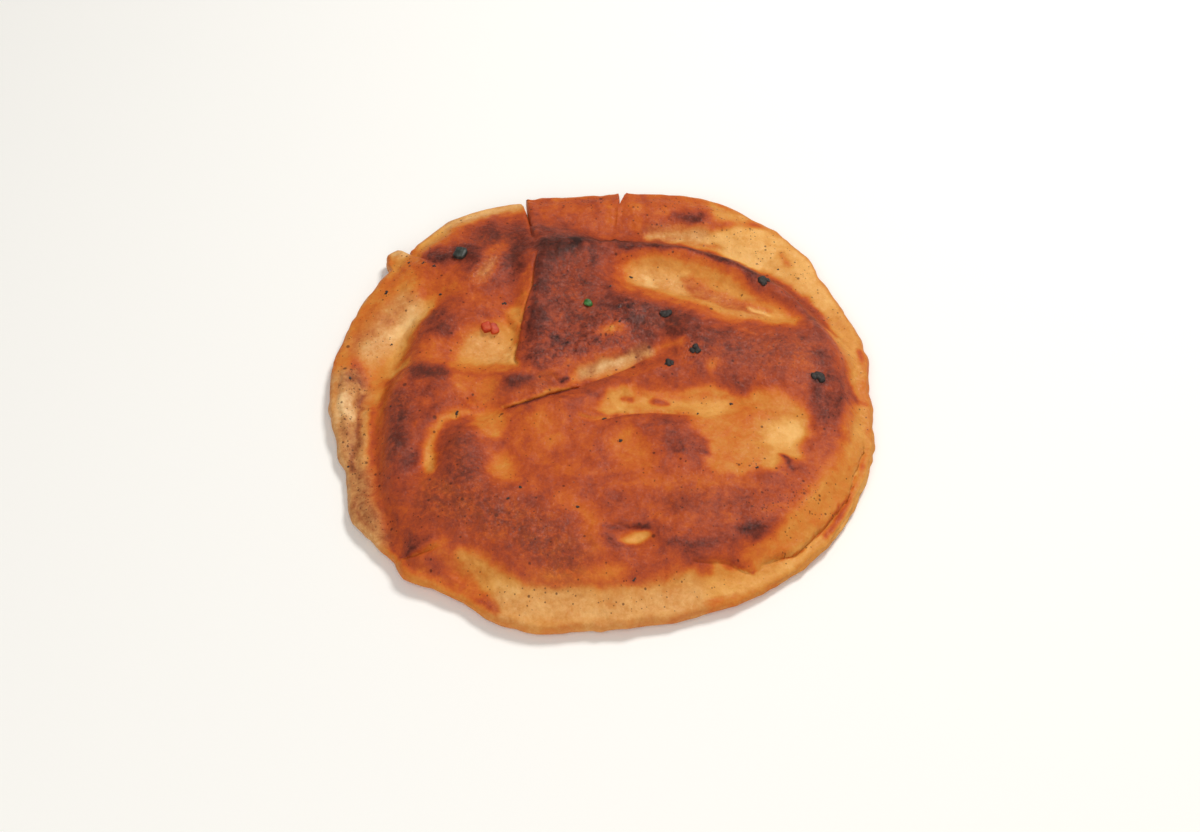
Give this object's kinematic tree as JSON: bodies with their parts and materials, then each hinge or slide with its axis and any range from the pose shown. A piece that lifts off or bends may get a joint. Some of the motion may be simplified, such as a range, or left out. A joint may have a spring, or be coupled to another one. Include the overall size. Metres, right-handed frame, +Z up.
{
  "type": "meat-filled flatbread",
  "caption": "Round flatbread closed over a meat filling and browned on a hot pan, with folds, pale hollows, a pressed rim torn by slits, and a flat underside.",
  "frame": {"origin": "on the underside, at the middle of the bread's box", "axes": "+Z up out of the browned top, +Y towards the edge with the two slits, +X to the right seen from the front"},
  "size_m": [0.2258, 0.229, 0.0214],
  "materials": {
    "crust": "browned dough with a light oily sheen, pale in the hollows and dark on the high spots",
    "char": "matte burnt crumbs",
    "red_filling": "moist chopped vegetable",
    "green_filling": "moist chopped herb"
  },
  "bodies": {
    "root": {"flatbread": "crust"}
  },
  "joints": []
}
